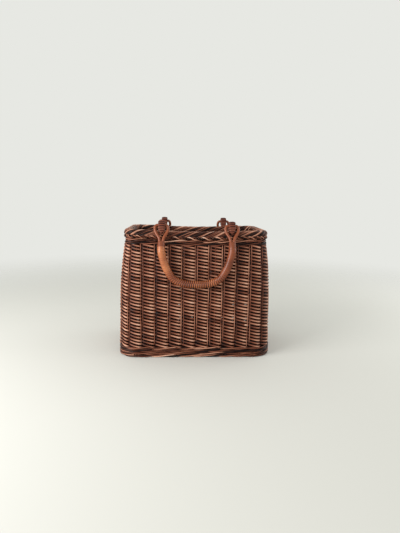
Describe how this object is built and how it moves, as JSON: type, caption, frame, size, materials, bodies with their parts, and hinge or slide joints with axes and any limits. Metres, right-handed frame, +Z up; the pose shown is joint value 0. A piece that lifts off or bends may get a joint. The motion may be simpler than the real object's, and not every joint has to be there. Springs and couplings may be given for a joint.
{
  "type": "woven basket box bag",
  "caption": "Rectangular woven willow basket bag with an open top, a plaited border, and two wrapped handles that swing in loops on four border ears.",
  "frame": {"origin": "on the floor under the middle of the bag", "axes": "+X to the bag's right, +Y from the front face to the back face, +Z up"},
  "size_m": [0.2998, 0.2059, 0.2618],
  "materials": {
    "brown_willow": "satin",
    "stake_willow": "satin",
    "wrapping_cane": "satin",
    "handle_rod": "satin"
  },
  "bodies": {
    "basket": {"base_weave": "brown_willow", "base_sticks": "stake_willow", "foot_wale": "brown_willow", "wall_weave": "brown_willow", "upper_wale": "brown_willow", "border": "brown_willow", "front_stakes": "stake_willow", "back_stakes": "stake_willow", "left_stakes": "stake_willow", "right_stakes": "stake_willow", "corner_stakes": "stake_willow", "ear_rods_front_left": "handle_rod", "ear_wrap_front_left": "wrapping_cane", "ear_rods_front_right": "handle_rod", "ear_wrap_front_right": "wrapping_cane", "ear_rods_back_left": "handle_rod", "ear_wrap_back_left": "wrapping_cane", "ear_rods_back_right": "handle_rod", "ear_wrap_back_right": "wrapping_cane"},
    "front_handle": {"front_handle_core": "handle_rod", "front_handle_wrap": "wrapping_cane", "front_loop_left": "handle_rod", "front_loop_right": "handle_rod", "front_collar_left": "wrapping_cane", "front_collar_right": "wrapping_cane"},
    "back_handle": {"back_handle_core": "handle_rod", "back_handle_wrap": "wrapping_cane", "back_loop_left": "handle_rod", "back_loop_right": "handle_rod", "back_collar_left": "wrapping_cane", "back_collar_right": "wrapping_cane"}
  },
  "joints": [
    {"name": "front_handle_swing", "type": "hinge", "parent": "basket", "child": "front_handle", "pos_m": [0, -0.07698, 0.2533], "axis": [-1, 0, 0], "range_deg": [0, 210]},
    {"name": "back_handle_swing", "type": "hinge", "parent": "basket", "child": "back_handle", "pos_m": [0, 0.07698, 0.2533], "axis": [1, 0, 0], "range_deg": [0, 210]}
  ]
}
